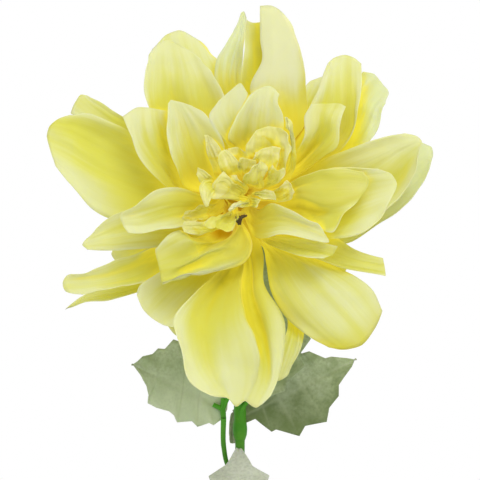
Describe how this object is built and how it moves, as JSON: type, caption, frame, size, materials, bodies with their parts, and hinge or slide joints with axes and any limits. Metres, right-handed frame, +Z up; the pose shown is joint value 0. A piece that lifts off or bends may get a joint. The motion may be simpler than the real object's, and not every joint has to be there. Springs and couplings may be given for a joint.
{
  "type": "artificial dahlia in a vase",
  "caption": "Single large dahlia bloom in cloth petals on a leafy green stem, standing in a plain round-bellied vase with a slim neck.",
  "frame": {"origin": "centre of the vase's flat base, on the surface that it stands on", "axes": "+Z up; the bloom faces -Y; +X is to the right as the bloom is looked at"},
  "size_m": [0.1508, 0.1262, 0.4204],
  "materials": {
    "petal_cloth": "pale yellow dyed cloth, deeper yellow towards the middle",
    "stem_plastic": "moulded bright green",
    "leaf_cloth": "grey-green printed cloth",
    "vase_glaze": "plain off-white glaze, bare foot"
  },
  "bodies": {
    "root": {"petal_round_1": "petal_cloth", "petal_round_2": "petal_cloth", "petal_round_3": "petal_cloth", "petal_round_4": "petal_cloth", "petal_round_5": "petal_cloth", "petal_round_6": "petal_cloth", "petal_round_7": "petal_cloth", "petal_round_8": "petal_cloth", "petal_round_9": "petal_cloth", "calyx": "stem_plastic", "stem": "stem_plastic", "leaf_left": "leaf_cloth", "leaf_right": "leaf_cloth", "leaf_back": "leaf_cloth", "leaf_front": "leaf_cloth", "leaf_narrow": "leaf_cloth", "vase": "vase_glaze"}
  },
  "joints": []
}
